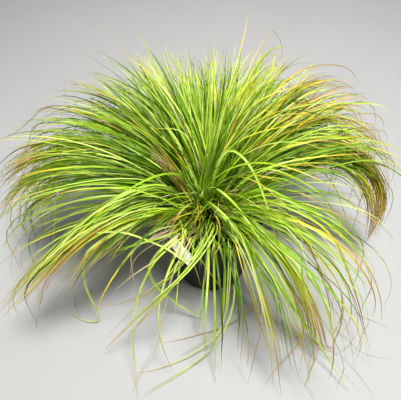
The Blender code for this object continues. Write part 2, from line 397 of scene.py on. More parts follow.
place = shader.node("TexCoord", {}, output="Object")
crumbs = place.blotches(420, detail=6, roughness=0.7)
bark = place.blotches(170, detail=2).eased(0.52, 0.6)
fleck = place.blotches(1100, detail=1).eased(0.68, 0.72)
peat = crumbs.ramp(
    (0.25, (0.009, 0.006, 0.004)),
    (0.55, (0.040, 0.024, 0.013)),
    (0.80, (0.105, 0.066, 0.036)),
)
barky = (bark * 0.5).mixed(peat, colour(0.135, 0.075, 0.035))
shader.feed(
    Base_Color=(fleck * 0.6).mixed(barky, colour(0.38, 0.31, 0.20)),
    Roughness=(0.78 + crumbs * 0.2).clamped(),
    Normal=(crumbs + place.blotches(1400) * 0.5).bump(0.0008, 0.9),
)
soil = add_piece("potting_mix_fill", shape, soil_finish)
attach(soil, "root")
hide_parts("soil")

# The leaves: each is a long, narrow, keeled blade with a groove above, folded from one strip of tissue
# and drawn out to a thread at its tip. They grow in shoots out of the crown, arch over and hang.
FOCUS = Vector((-0.009, 0.002, 0.116))
LEAF_STATIONS = 14
GROOVE = 0.30
KEEL = 0.55
WIDTH_AT_BASE = 0.72
WIDTH_AT_TIP = 0.06
TAPER_LATENESS = 3.6


def leaf_blank(stations):
    """A straight leaf, 1 long and 2 wide, extruded along X from a four-sided section."""
    shape = bmesh.new()
    along = shape.verts.layers.float.new("along")
    across = shape.verts.layers.float.new("across")
    shape.verts.layers.float.new("tone")
    shape.verts.layers.float.new("turning")
    shape.verts.layers.float.new("dead")
    bmesh.ops.create_circle(shape, cap_ends=True, segments=4, radius=1.0)
    section = ((-1.0, 0.0), (0.0, -GROOVE), (1.0, 0.0), (0.0, -KEEL))
    for vertex, (side, rise) in zip(shape.verts, section):
        vertex.co = (0, side, rise)
        vertex[across] = side
    face = next(iter(shape.faces))
    for station in range(1, stations + 1):
        passed = face
        made = bmesh.ops.extrude_face_region(shape, geom=[passed])
        face = next(part for part in made["geom"] if isinstance(part, bmesh.types.BMFace))
        if station > 1:
            bmesh.ops.delete(shape, geom=[passed], context="FACES_ONLY")
        for vertex in face.verts:
            vertex.co.x = station / stations
            vertex[along] = station / stations
    bmesh.ops.recalc_face_normals(shape, faces=shape.faces)
    for face in shape.faces:
        face.smooth = True
    for edge in shape.edges:
        edge.smooth = abs(edge.verts[0].co.x - edge.verts[1].co.x) < 0.5 / stations
    mesh = bpy.data.meshes.new("leaf_blank")
    shape.to_mesh(mesh)
    shape.free()
    return mesh


def new_bundle(blank):
    """An empty bmesh that has the layers of a blank leaf."""
    shape = bmesh.new()
    shape.from_mesh(blank)
    shape.clear()
    return shape


def leftward(azimuth):
    return Vector((-math.sin(azimuth), math.cos(azimuth), 0))


def leaf_width(share):
    """How wide a leaf is, as a share of its full width: widest in its lower half, a thread at its tip."""
    return min(WIDTH_AT_BASE + share, 1.0) * (1 - share ** TAPER_LATENESS) ** 0.95 + WIDTH_AT_TIP


def lay_leaf(shape, blank, points, side, half_width, roll, twist, tone, turning, dead=0.0, faced=None):
    """Bends a copy of the straight leaf along its points. side is the way to its left at its base.

    roll and twist are in degrees. A leaf that has a direction faced turns its flat side that way, all along.
    """
    roll, twist = math.radians(roll), math.radians(twist)
    stations = len(points) - 1
    known = len(shape.verts)
    shape.from_mesh(blank)
    shape.verts.ensure_lookup_table()
    tone_layer = shape.verts.layers.float["tone"]
    turning_layer = shape.verts.layers.float["turning"]
    dead_layer = shape.verts.layers.float["dead"]
    frames = []
    for station, point in enumerate(points):
        along = (points[min(station + 1, stations)] - points[max(station - 1, 0)]).normalized()
        if faced:
            flat = along.cross(faced)
            side = flat if flat.dot(side) > 0 else -flat
        side = (side - along * side.dot(along)).normalized()
        share = station / stations
        turned_side = Matrix.Rotation(roll + twist * share, 3, along) @ side
        width = half_width * leaf_width(share)
        frames.append((point, turned_side * width, along.cross(turned_side) * width))
    for vertex in shape.verts[known:]:
        point, sideways, upward = frames[round(vertex.co.x * stations)]
        vertex.co = point + sideways * vertex.co.y + upward * vertex.co.z
        vertex[tone_layer] = tone
        vertex[turning_layer] = turning
        vertex[dead_layer] = dead


# How the leaves differ round the plant, by azimuth in degrees from +X towards +Y: length of the outer
# and the inner leaves in metres, how far each bends over 0.4 m in degrees, sideways sweep in degrees at
# the tip, how late along an outer leaf the bend comes, and how full the locks are.
SECTORS = (
    (0, 0.36, 0.25, 178, 156, 0, 1.4, 0.15),
    (11, 0.46, 0.29, 150, 142, 0, 1.6, 0.9),
    (30, 0.46, 0.29, 146, 140, 0, 1.5, 1.0),
    (50, 0.43, 0.27, 146, 132, 4, 1.3, 1.0),
    (75, 0.375, 0.23, 140, 116, 4, 1.15, 1.0),
    (100, 0.36, 0.22, 140, 110, -2, 1.15, 1.0),
    (128, 0.40, 0.25, 138, 120, -4, 1.15, 1.0),
    (148, 0.44, 0.28, 138, 132, 0, 1.2, 1.0),
    (168, 0.48, 0.30, 148, 140, 0, 1.35, 1.0),
    (187, 0.43, 0.30, 148, 144, 0, 1.35, 0.85),
    (198, 0.36, 0.28, 156, 144, -4, 1.2, 0.45),
    (210, 0.41, 0.32, 146, 138, -4, 1.15, 0.50),
    (226, 0.30, 0.24, 190, 156, 0, 1.15, 0.05),
    (245, 0.32, 0.26, 230, 160, 0, 1.15, 0.08),
    (262, 0.25, 0.22, 280, 180, 0, 1.15, 0.03),
    (280, 0.26, 0.22, 280, 180, 0, 1.15, 0.05),
    (294, 0.43, 0.29, 204, 160, 0, 1.15, 0.30),
    (310, 0.44, 0.29, 172, 154, 4, 1.15, 0.60),
    (326, 0.41, 0.26, 174, 156, 4, 1.15, 0.45),
    (342, 0.35, 0.23, 178, 160, 4, 1.2, 0.14),
    (360, 0.36, 0.25, 178, 156, 0, 1.4, 0.15),
)
SIDES = ("right", "back_right", "back", "back_left", "left", "front_left", "front", "front_right")
LOCK_COUNT = 54
GOLDEN_ANGLE = math.radians(137.508)
LOWEST_RISE = math.radians(40)
LEAN_BACK = 0.35
BEND_LENGTH = 0.40
INNER_POWER = 1.15
STEEPEST = math.radians(-84)
FLOOR_CLEARANCE = 0.003
LANDING_HEIGHT = 0.05
LEAF_START = 0.040
RIM_CLEARANCE = 0.002
OVER_RIM = POT_HEIGHT + RIM_CLEARANCE
REACH_MARGIN = 0.012
MOST_LYING = 2
LABEL_CLEARING = 0.024
label_centre = (Vector(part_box("plant_label")[0]) + Vector(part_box("plant_label")[1])) / 2

# How much of the outer leaves has turned yellow and brown, by azimuth in degrees
TURNED = ((0, 0.50), (35, 0.48), (80, 0.26), (150, 0.28), (190, 0.32), (230, 0.40), (300, 0.46), (360, 0.50))


def between(rows, azimuth):
    """The values of a table's rows on either side of an azimuth in degrees, eased from one to the other."""
    turned_to = azimuth % 360
    for before, after in zip(rows, rows[1:]):
        if before[0] <= turned_to <= after[0]:
            share = (turned_to - before[0]) / (after[0] - before[0])
            share = share * share * (3 - 2 * share)
            return [low + (high - low) * share for low, high in zip(before[1:], after[1:])]
    raise ValueError(f"no row at {azimuth} degrees")


def heading(azimuth, rise):
    return Vector((math.cos(rise) * math.cos(azimuth), math.cos(rise) * math.sin(azimuth), math.sin(rise)))


def steepest_slope(height):
    """How steeply leaves fall at a height: they curve outward as they come down on the floor."""
    share = min(max((height - FLOOR_CLEARANCE) / LANDING_HEIGHT, 0.0), 1.0)
    return STEEPEST * math.sqrt(share)


def lift_over_rim(inner, outer):
    """Lifts two neighbouring points of a leaf until the leaf between them clears the pot's rim."""
    inner_reach, outer_reach = inner.xy.length, outer.xy.length
    if inner_reach < POT_RIM_RADIUS < outer_reach:
        crossing = inner.lerp(outer, (POT_RIM_RADIUS - inner_reach) / (outer_reach - inner_reach))
        lift = max(OVER_RIM - crossing.z, 0.0)
        inner.z += lift
        outer.z += lift


def leaf_points(foot, azimuth, rise, length, bend, sweep, power, wave, phase, kink_at, kink):
    """A leaf's middle line: it springs from the crown, arches over and may come to lie on the floor.

    Its bend over BEND_LENGTH, sweep, wave and kink are in degrees.
    """
    bend, sweep, wave, kink = map(math.radians, (bend, sweep, wave, kink))
    step = length / LEAF_STATIONS
    point = foot + LEAF_START * heading(azimuth, rise)
    points = [point]
    for station in range(LEAF_STATIONS):
        share = (station + 0.5) / LEAF_STATIONS
        run = share * length
        slope = rise - bend * (run / BEND_LENGTH) ** power
        slope += wave * share * math.sin(phase + 7 * share)
        if share > kink_at:
            slope -= kink
        slope = max(slope, steepest_slope(point.z))
        swept = azimuth + sweep * share ** 2 + wave * share * math.cos(phase + 5 * share)
        ahead = point + step * heading(swept, slope)
        off_axis = ahead.xy.length
        nearest = pot_radius(ahead.z) + RIM_CLEARANCE
        past_wall = point.xy.length > POT_RIM_RADIUS - POT_WALL
        if past_wall and ahead.z < OVER_RIM and off_axis < nearest:
            ahead.xy *= nearest / off_axis
        if ahead.z < FLOOR_CLEARANCE:
            drop = point.z - FLOOR_CLEARANCE
            ahead = point + math.sqrt(max(step * step - drop * drop, 0.0)) * heading(swept, 0.0)
            ahead.z = FLOOR_CLEARANCE
        lift_over_rim(point, ahead)
        point = ahead
        points.append(point)
    return points


def within_reach(points):
    """Whether a leaf stays in or close by the box that the locks fill, and lies down with its tip only."""
    lowest, highest = solid_box
    lying = sum(point.z < 2 * FLOOR_CLEARANCE for point in points)
    return lying <= MOST_LYING and all(
        low - REACH_MARGIN < value < high + REACH_MARGIN
        for point in points
        for low, value, high in zip(lowest, point, highest)
    )


def hides_label(points, clearing=LABEL_CLEARING):
    """Whether a leaf would hang before the plant label: they part round it, and leave it in view."""
    sight = (CAMERA_PLACE - label_centre).normalized()
    return any((point - label_centre).cross(sight).length < clearing for point in points)


leaf_finish, shader = new_finish(
    "leaf_blade",
    Specular_IOR_Level=0.28,
    Subsurface_Weight=0.15,
    Subsurface_Radius=(0.7, 1.0, 0.25),
    Subsurface_Scale=0.0015,
)


def leaf_value(name):
    return shader.node("Attribute", {}, {"attribute_name": name}, output="Fac")


along = leaf_value("along")
across = leaf_value("across")
tone = leaf_value("tone")
turning = leaf_value("turning")
dead = leaf_value("dead")
place = shader.node("TexCoord", {}, output="Object")
lengthwise = shader.node("CombineXYZ", {"X": across * 1.6, "Y": along * 5.0, "Z": tone * 37.0})
streaks = lengthwise.blotches(2.2, detail=3, roughness=0.6)
patches = place.blotches(42, detail=2)
veins = (across * 19.0).sine() * 0.5 + 0.5
shade = (tone + (streaks - 0.5) * 0.55 + (patches - 0.5) * 0.45).clamped()
green = shade.ramp(
    (0.00, (0.015, 0.048, 0.001)),
    (0.25, (0.048, 0.132, 0.002)),
    (0.50, (0.170, 0.335, 0.006)),
    (0.75, (0.370, 0.590, 0.022)),
    (1.00, (0.680, 0.840, 0.190)),
)
# Painted light: the lower part of every leaf is mixed towards a bright lime, which lightens the shade that
# falls deep in the clump.
painted_base_light = (1 - along.eased(0.05, 0.40)) * 0.30
green_with_painted_base_light = painted_base_light.mixed(green, colour(0.330, 0.620, 0.006))
ripeness = ((along + turning - 1.0) * 1.8 + (patches - 0.5) * 0.6 + (streaks - 0.5) * 0.5).clamped()
ripe = ripeness.ramp(
    (0.00, (0.560, 0.640, 0.030)),
    (0.35, (0.660, 0.590, 0.030)),
    (0.62, (0.600, 0.360, 0.030)),
    (0.82, (0.480, 0.270, 0.060)),
    (1.00, (0.440, 0.285, 0.105)),
)
living = ripeness.eased(0.05, 0.40).mixed(green_with_painted_base_light, ripe)
straw = streaks.ramp(
    (0.25, (0.300, 0.190, 0.070)),
    (0.50, (0.600, 0.470, 0.230)),
    (0.75, (0.800, 0.720, 0.470)),
)
shader.feed(
    Base_Color=dead.mixed(living, straw),
    Roughness=(0.30 + streaks * 0.14 + dead * 0.25 + ripeness * 0.15).clamped(),
    Normal=(veins + streaks * 0.6).bump(0.00008, 0.5),
)

leaf_pattern = leaf_blank(LEAF_STATIONS)
SHOOTS_A_LOCK = 10
LEAVES_A_SHOOT = 5
SHOOT_SPREAD = math.radians(9)
LEAF_SPREAD = math.radians(3.5)
STRAYING = math.radians(20)
STRAYING_SHARE = 0.15
SPARSEST = 0.15
STEEPEST_SHOOT = math.radians(88)
STEEPEST_LEAF = math.radians(89)
FOOT_SPREAD = 0.009
LONGEST = 1.02
SHORTENING = 0.5
TRIMMING = 0.95
NARROWEST = 0.0006
WIDEST = 0.0016
WAVES = (3, 18)
KINKS = (20, 60)
KINKED_SHARE = 0.06
NO_KINK = 2.0
SHOOT_TONES = (0.18, 0.92)
LEAF_TONE_SPREAD = 0.13
TURNING_SHARES = (0.2, 1.3)
DEAD_SHARE = 0.025
DEAD_WIDTH = 0.5


def circle_share(rise):
    """How short a circle round the plant is at a rise. Steep leaves scatter further in azimuth by it."""
    return max(math.cos(rise), 0.3)


def scattered_foot():
    return FOCUS + Vector((pick.gauss(0, FOOT_SPREAD), pick.gauss(0, FOOT_SPREAD), 0))


lock_counts = {side: 0 for side in SIDES}
for lock in range(LOCK_COUNT):
    pick = random.Random(100 + lock)
    share = (lock + 0.5) / LOCK_COUNT
    turn = lock * GOLDEN_ANGLE
    lock_azimuth = turn + LEAN_BACK * math.cos(turn)
    lock_rise = math.asin(1 - share * (1 - math.sin(LOWEST_RISE)))
    side = SIDES[round(math.degrees(lock_azimuth) % 360 / 45) % len(SIDES)]
    lock_counts[side] += 1
    name = f"{side}_{lock_counts[side]}"
    shape = new_bundle(leaf_pattern)
    for shoot in range(SHOOTS_A_LOCK):
        shoot_azimuth = lock_azimuth + pick.gauss(0, SHOOT_SPREAD) / circle_share(lock_rise)
        shoot_rise = min(max(lock_rise + pick.gauss(0, SHOOT_SPREAD), LOWEST_RISE), STEEPEST_SHOOT)
        shoot_tone = pick.uniform(*SHOOT_TONES)
        foot = scattered_foot()
        fullness = between(SECTORS, math.degrees(shoot_azimuth))[-1]
        if shoot and pick.random() > fullness:
            continue
        for leaf in range(1 + round((LEAVES_A_SHOOT - 1) * fullness)):
            spread = STRAYING if pick.random() < STRAYING_SHARE else LEAF_SPREAD
            azimuth = shoot_azimuth + pick.gauss(0, spread) / circle_share(shoot_rise)
            *growth, sweep, power, density = between(SECTORS, math.degrees(azimuth))
            if leaf and pick.random() > SPARSEST + density:
                continue
            outer_length, inner_length, outer_bend, inner_bend = growth
            rise = min(shoot_rise + pick.gauss(0, LEAF_SPREAD), STEEPEST_LEAF)
            inwardness = 1 - (1 - math.sin(rise)) / (1 - math.sin(LOWEST_RISE))
            length = outer_length + (inner_length - outer_length) * inwardness
            bend = outer_bend + (inner_bend - outer_bend) * inwardness
            length *= LONGEST - SHORTENING * pick.random() ** 2
            turning = between(TURNED, math.degrees(azimuth))[0] * pick.uniform(*TURNING_SHARES)
            habit = {
                "bend": bend * pick.gauss(1, 0.10),
                "sweep": sweep + pick.gauss(0, 10),
                "power": power + (INNER_POWER - power) * inwardness,
                "wave": pick.uniform(*WAVES),
                "phase": pick.uniform(0, math.tau),
                "kink_at": pick.uniform(0.45, 0.9) if pick.random() < KINKED_SHARE else NO_KINK,
                "kink": pick.uniform(*KINKS),
            }
            points = leaf_points(foot, azimuth, rise, length, **habit)
            first = len(shape.verts) == 0
            while not within_reach(points) or first and hides_label(points):
                length *= TRIMMING
                points = leaf_points(foot, azimuth, rise, length, **habit)
            if hides_label(points):
                continue
            withered = pick.random() < DEAD_SHARE
            half_width = NARROWEST + (WIDEST - NARROWEST) * pick.random() ** 1.6
            lay_leaf(
                shape,
                leaf_pattern,
                points,
                leftward(azimuth),
                half_width * (DEAD_WIDTH if withered else 1.0),
                roll=pick.gauss(0, 30),
                twist=pick.gauss(0, 60),
                tone=min(max(shoot_tone + pick.gauss(0, LEAF_TONE_SPREAD), 0.0), 1.0),
                turning=turning,
                dead=1.0 if withered else 0.0,
            )
    leaves = add_piece(f"blades_{name}", shape, leaf_finish)
    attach(leaves, "root")
    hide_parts(f"leaves_{name}")

# The leaves that part from the rest, each along a route of its own: single blades that arch over, bent
# and broken ones, the bundles that hang together, and those that trail on the ground.
STRAY_STATIONS = 30
ROUTE_CUTS = 3
BASE_SPREAD = 0.005
POT_INSET = 0.006
MM_A_METRE = 1000
FOLLOWER_MARKS = 8
FOLLOWER_LENGTHS = (0.80, 1.0)
FOLLOWER_WIDTHS = (0.6, 1.0)
FOLLOWER_TONE_SPREAD = 0.16
FOLLOWER_TURNING = (0.5, 1.1)


def seen_on(pixel_x, pixel_y, azimuth):
    """The point that the camera sees at a pixel, on the upright plane through the crown at an azimuth."""
    sight = seen_at(pixel_x, pixel_y, 0.0) - CAMERA_PLACE
    return CAMERA_PLACE + sight * (leftward(azimuth).dot(FOCUS - CAMERA_PLACE) / leftward(azimuth).dot(sight))


def clear_of_pot(point):
    """Lifts a point over the rim, or moves it out past the wall."""
    point.z = max(point.z, FLOOR_CLEARANCE)
    off_axis = point.xy.length
    past_soil = off_axis > POT_SHOULDER_RADIUS - POT_INSET
    if past_soil and SOIL_LEVEL - 0.01 < point.z < OVER_RIM and off_axis < POT_RIM_RADIUS + RIM_CLEARANCE:
        point.z = OVER_RIM
    elif past_soil and point.z < SOIL_LEVEL and off_axis < pot_radius(point.z) + RIM_CLEARANCE:
        point.xy *= (pot_radius(point.z) + RIM_CLEARANCE) / off_axis
    return point


def smooth_route(points, stations):
    """A smooth curve along the points, made by cutting corners, in so many equal steps."""
    for cut in range(ROUTE_CUTS):
        shorter = [points[0]]
        for first, second in zip(points, points[1:]):
            shorter += [first.lerp(second, 0.25), first.lerp(second, 0.75)]
        points = [*shorter, points[-1]]
    runs = [0.0]
    for first, second in zip(points, points[1:]):
        runs.append(runs[-1] + (second - first).length)
    route = []
    index = 0
    for station in range(stations + 1):
        target = runs[-1] * station / stations
        while index < len(runs) - 2 and runs[index + 1] < target:
            index += 1
        share = (target - runs[index]) / max(runs[index + 1] - runs[index], 1e-9)
        route.append(points[index].lerp(points[index + 1], min(share, 1.0)))
    return route


# Side of the plant, number of leaves, how far they part at their tips and their half width in mm, tone,
# how much has turned, how dead, azimuths of the first and last point in degrees, and then the points by
# their pixels. A third number is a point's height in mm, and the azimuths then aren't used. The first
# leaf of a row follows its points, and the others part from it.
STRAYS = (
    ("right", 13, 4, 1.6, 0.8, 0, 0, 0, 0, (202, 212, 165), (203, 196, 190), (205, 178, 225),
     (208, 160, 260), (213, 138, 295), (219, 112, 325)),
    ("front", 1, 0, 1.8, 0.85, 0.3, 0, 0, 0, (211, 190, 200), (217, 165, 250), (227, 148, 275),
     (240, 153, 275), (252, 168, 265), (260, 185, 250), (267, 205, 235), (272, 219, 220), (278, 252, 185)),
    ("front", 1, 0, 1.7, 0.8, 0.1, 0, 0, 0, (206, 190, 200), (213, 187, 225), (222, 192, 235),
     (232, 201, 235), (243, 214, 230), (257, 236, 215), (266, 252, 195)),
    ("front", 1, 0, 2.3, 0.8, 0.15, 0, 0, 0, (206, 203, 190), (214, 207, 205), (226, 219, 210),
     (241, 236, 200), (257, 256, 175), (272, 276, 145), (288, 298, 110), (301, 318, 80), (314, 336, 55),
     (328, 358, 28), (348, 391, 4)),
    ("front", 3, 6, 1.7, 0.8, 0.15, 0, 0, 0, (205, 200, 195), (213, 205, 210), (222, 213, 212),
     (232, 223, 205), (245, 239, 190), (258, 256, 170), (280, 288, 120), (300, 320, 60)),
    ("front", 1, 0, 1.4, 0.85, 0.9, 0, 318, 318, (217, 203), (225, 208), (232, 212), (242, 222),
     (250, 229)),
    ("back", 1, 0, 1.2, 1, 0.55, 0, 0, 0, (225, 190, 190), (240, 172, 220), (252, 159, 240),
     (258, 146, 260), (262, 126, 290)),
    ("left", 1, 0, 0.9, 0.9, 0.6, 0, 190, 200, (196, 213), (186, 207), (176, 207), (166, 209), (159, 215),
     (153, 223)),
    ("left", 12, 4, 1.1, 0.5, 1.1, 0, 0, 0, (198, 214, 168), (194, 204, 182), (187, 192, 205),
     (178, 180, 232), (167, 169, 260), (156, 158, 284), (146, 147, 304)),
    ("left", 4, 4, 0.7, 0.9, 0.5, 1, 0, 0, (198, 213, 170), (193, 201, 190), (184, 189, 215),
     (174, 177, 242), (163, 164, 272), (144, 144, 312)),
    ("left", 9, 5, 1.1, 0.95, 0.7, 0, 0, 0, (199, 211, 170), (194, 200, 190), (188, 189, 212),
     (180, 177, 238), (171, 165, 264), (162, 153, 290), (152, 142, 312)),
    ("left", 5, 4, 0.9, 0.8, 0.9, 0, 195, 198, (198, 210), (192, 200), (184, 192), (172, 187), (150, 186),
     (130, 191)),
    ("left", 5, 4, 1.1, 0.95, 0.5, 0, 185, 192, (200, 207), (195, 193), (189, 178), (182, 162), (176, 150),
     (166, 140)),
    ("left", 2, 8, 1.1, 0.85, 0.5, 0, 140, 140, (201, 205), (193, 181), (184, 161), (174, 144),
     (155, 127)),
    ("left", 1, 0, 0.6, 1, 0.35, 0, 165, 160, (198, 165), (191, 143), (183, 131), (170, 128), (153, 129),
     (140, 135)),
    ("left", 14, 9, 1.2, 0.8, 0.55, 0, 165, 168, (183, 185), (174, 177), (158, 164), (150, 160),
     (132, 152), (100, 141), (66, 140), (41, 143), (17, 156), (2, 166)),
    ("left", 1, 0, 1.4, 0.9, 0.8, 0, 210, 210, (191, 219), (184, 213), (174, 210)),
    ("right", 2, 4, 1.8, 0.95, 0.15, 0, 32, 22, (250, 160), (294, 124), (312, 112), (333, 104), (352, 103),
     (369, 103), (384, 106), (389, 112), (388, 120)),
    ("right", 1, 0, 1.2, 0.95, 0.35, 0, 14, 10, (300, 163), (330, 158), (352, 160), (369, 161), (386, 165),
     (399, 170)),
    ("right", 8, 7, 1, 0.6, 0.4, 0, 12, 0, (270, 172), (300, 167), (335, 170), (352, 180), (362, 192),
     (366, 208), (366, 225)),
    ("right", 16, 8, 0.8, 0.7, 0.7, 0, 28, 5, (255, 150), (300, 120), (330, 115), (352, 119), (370, 131),
     (381, 145), (387, 160), (389, 178), (389, 198)),
    ("right", 34, 5, 1.4, 0.9, 0.6, 0, 18, 0, (262, 170), (300, 154), (328, 150), (350, 155), (368, 166),
     (381, 181), (387, 197), (384, 211), (377, 224), (367, 241)),
    ("right", 44, 5, 1.4, 0.9, 0.58, 0, 20, 0, (262, 165), (300, 149), (325, 147), (347, 153), (365, 165),
     (377, 180), (382, 196), (380, 211), (374, 225), (366, 240)),
    ("right", 34, 5, 1.3, 0.9, 0.54, 0, 15, 0, (262, 174), (300, 160), (330, 158), (350, 167), (363, 180),
     (371, 194), (373, 210), (371, 226), (366, 243)),
    ("right", 32, 6, 1.2, 0.9, 0.58, 0, 24, 5, (258, 158), (295, 138), (325, 136), (350, 144), (368, 157),
     (380, 172), (387, 189), (386, 206), (378, 220)),
    ("right", 2, 10, 1, 0.75, 0.3, 0, 350, 350, (260, 166), (283, 172), (300, 180), (320, 192), (333, 210),
     (343, 226), (347, 241)),
    ("right", 1, 0, 0.9, 0.7, 0.3, 0, 0, 0, (255, 172, 220), (275, 160, 245), (294, 156, 250),
     (308, 163, 240), (322, 171, 225), (333, 183, 200), (341, 200, 165), (347, 223, 120), (348, 241, 80)),
    ("right", 2, 12, 1.2, 0.75, 0.3, 0, 340, 338, (260, 184), (283, 196), (306, 206), (323, 220),
     (340, 236), (354, 250), (362, 262)),
    ("right", 1, 0, 0.8, 0.9, 0.6, 0, 345, 345, (265, 190), (290, 200), (324, 209), (347, 217), (363, 224),
     (382, 237)),
    ("right", 1, 0, 1, 0.6, 0.5, 1, 5, 5, (265, 172), (292, 168), (306, 170), (320, 169)),
    ("right", 1, 0, 0.6, 0.6, 0.5, 1, 340, 335, (270, 200), (310, 218), (340, 235), (359, 248), (375, 252),
     (396, 253)),
    ("back", 1, 0, 0.9, 0.9, 0.8, 0, 50, 38, (250, 120), (290, 75), (310, 67), (330, 64), (350, 68),
     (357, 80), (358, 87), (354, 99)),
    ("back", 14, 9, 1.1, 0.8, 0.68, 0, 46, 38, (245, 140), (268, 112), (298, 88), (324, 79), (344, 82),
     (356, 91)),
    ("back", 14, 9, 1.2, 0.85, 0.68, 0, 38, 32, (250, 150), (270, 130), (300, 105), (329, 91), (340, 86),
     (356, 88)),
    ("back", 1, 0, 0.8, 0.7, 0.5, 0, 0, 0, (208, 150, 240), (211, 100, 290), (213, 60, 320),
     (215, 36, 330)),
    ("back", 1, 0, 0.7, 0.7, 0.5, 0, 0, 0, (212, 150, 245), (225, 100, 300), (238, 60, 335),
     (246, 28, 352), (250, 4, 358)),
    ("back", 1, 0, 0.6, 0.7, 0.7, 0, 0, 0, (215, 150, 240), (235, 100, 280), (252, 62, 300),
     (265, 36, 300), (272, 28, 290), (280, 38, 270), (283, 52, 240), (281, 74, 190)),
    ("back", 1, 0, 1.4, 0.8, 0.2, 0, 0, 0, (195, 150, 235), (175, 100, 275), (158, 66, 295),
     (145, 45, 300), (138, 31, 300)),
    ("back", 1, 0, 0.6, 0.8, 0.6, 0, 0, 0, (190, 150, 230), (165, 105, 265), (140, 70, 280),
     (118, 46, 285), (107, 24, 300)),
    ("left", 3, 8, 0.9, 0.8, 0.8, 0, 140, 147, (165, 150), (124, 103), (100, 92), (86, 87), (63, 78),
     (64, 90), (66, 100)),
    ("left", 2, 8, 0.9, 0.85, 0.5, 0, 145, 150, (160, 160), (130, 125), (108, 108), (86, 102), (70, 101),
     (63, 104)),
    ("left", 2, 8, 0.8, 0.6, 0.9, 0, 150, 160, (150, 155), (116, 126), (83, 113), (66, 106), (50, 105),
     (40, 110), (30, 121), (18, 131), (2, 142)),
    ("left", 1, 0, 1, 0.9, 0.9, 0, 158, 158, (140, 170), (100, 153), (75, 147), (53, 143), (41, 135),
     (28, 124)),
    ("left", 2, 8, 0.9, 0.9, 0.5, 0, 160, 165, (140, 165), (100, 145), (60, 142), (33, 147), (17, 147),
     (5, 150), (0, 153)),
    ("left", 12, 9, 1, 0.75, 0.75, 0, 168, 172, (140, 168), (100, 152), (60, 149), (28, 160), (8, 172),
     (-4, 188)),
    ("left", 26, 14, 1.2, 0.7, 0.55, 0, 166, 172, (165, 180), (130, 160), (100, 151), (66, 151), (33, 158),
     (10, 171), (0, 178)),
    ("left", 26, 16, 1.2, 0.65, 0.5, 0, 172, 178, (160, 185), (130, 168), (100, 161), (70, 161), (41, 168),
     (22, 183), (12, 199), (8, 215)),
    ("left", 16, 9, 1, 0.65, 0.6, 0, 168, 174, (165, 180), (130, 164), (95, 155), (60, 153), (32, 160),
     (10, 174), (-3, 192)),
    ("left", 14, 9, 1, 0.65, 0.6, 0, 172, 178, (160, 184), (125, 171), (90, 166), (55, 169), (28, 182),
     (10, 200), (3, 214)),
    ("left", 2, 8, 1.4, 0.9, 0.2, 0, 185, 185, (150, 182), (116, 169), (91, 173), (75, 183), (58, 198),
     (33, 214), (18, 227), (13, 239)),
    ("left", 1, 0, 1.7, 0.85, 0.1, 0, 180, 185, (130, 172), (100, 169), (73, 183), (61, 194), (56, 206),
     (54, 227), (53, 249)),
    ("left", 15, 8, 1.1, 0.85, 0.45, 0, 205, 207, (175, 190), (160, 183), (133, 188), (108, 203),
     (83, 224), (58, 246), (33, 272), (17, 292), (0, 312)),
    ("left", 12, 9, 1.1, 0.8, 0.45, 0, 208, 210, (180, 205), (160, 203), (133, 208), (100, 224), (66, 249),
     (46, 269), (25, 295), (2, 318)),
    ("left", 11, 8, 1.1, 0.8, 0.5, 0, 206, 209, (175, 195), (150, 190), (125, 196), (100, 212), (80, 232),
     (62, 252), (48, 270), (40, 284)),
    ("left", 9, 12, 0.9, 0.6, 0.3, 0, 214, 218, (172, 212), (150, 216), (130, 227), (112, 241), (98, 255),
     (90, 268)),
    ("left", 10, 12, 0.7, 0.7, 0.95, 0, 210, 213, (170, 208), (130, 212), (83, 236), (66, 256), (46, 277),
     (40, 302), (36, 328)),
    ("left", 8, 10, 0.9, 0.75, 0.6, 0, 212, 214, (170, 212), (130, 218), (100, 244), (83, 266), (66, 289),
     (58, 297)),
    ("left", 1, 0, 0.5, 0.5, 0.5, 1, 0, 0, (150, 222, 190), (110, 250, 170), (83, 273, 145),
     (66, 272, 150), (50, 267, 155)),
    ("left", 1, 0, 1.9, 0.95, 0.2, 0, 0, 0, (150, 215, 200), (110, 235, 200), (88, 250, 185),
     (84, 258, 170), (83, 277, 130), (88, 294, 85), (99, 313, 30), (99, 320, 10), (93, 323, 4),
     (80, 320, 3), (70, 312, 3)),
    ("front", 1, 0, 1.1, 0.5, 0.3, 1, 0, 0, (172, 243, 170), (167, 250, 172), (155, 261, 165),
     (134, 274, 150), (114, 291, 115)),
    ("front", 1, 0, 1.2, 0.8, 0.3, 0, 0, 0, (185, 235, 170), (166, 250, 178), (154, 262, 168),
     (145, 278, 150), (138, 295, 130), (134, 315, 105), (133, 334, 80), (133, 349, 60), (136, 371, 30),
     (138, 398, 4)),
    ("front", 5, 4, 0.9, 0.9, 0.48, 0, 0, 0, (216, 223, 180), (208, 240, 182), (199, 253, 176),
     (188, 268, 165), (172, 285, 150), (160, 294, 140), (134, 319, 90), (112, 342, 45), (104, 351, 20)),
    ("front", 3, 4, 0.8, 0.9, 0.5, 0, 0, 0, (215, 228, 172), (207, 243, 178), (196, 260, 168),
     (182, 276, 155), (160, 300, 130), (145, 316, 100), (132, 330, 70), (128, 336, 55), (128, 344, 35)),
    ("front", 2, 6, 1.1, 0.85, 0.4, 0, 0, 0, (186, 226, 168), (183, 240, 170), (174, 258, 162),
     (169, 268, 155), (164, 284, 140), (160, 299, 125), (158, 317, 100), (159, 328, 85), (160, 338, 70),
     (166, 357, 40), (174, 374, 12)),
    ("front", 1, 0, 0.9, 0.6, 0.5, 1, 0, 0, (190, 242, 170), (178, 262, 165), (169, 284, 140),
     (167, 301, 115), (162, 317, 90), (160, 333, 65), (157, 347, 45), (155, 352, 40), (146, 360, 30),
     (140, 374, 15), (132, 393, 4)),
    ("front", 1, 0, 1.2, 0.85, 0.25, 0, 0, 0, (186, 222, 170), (184, 236, 172), (181, 250, 168),
     (180, 262, 155), (178, 280, 130), (177, 299, 110), (175, 310, 90), (175, 319, 70)),
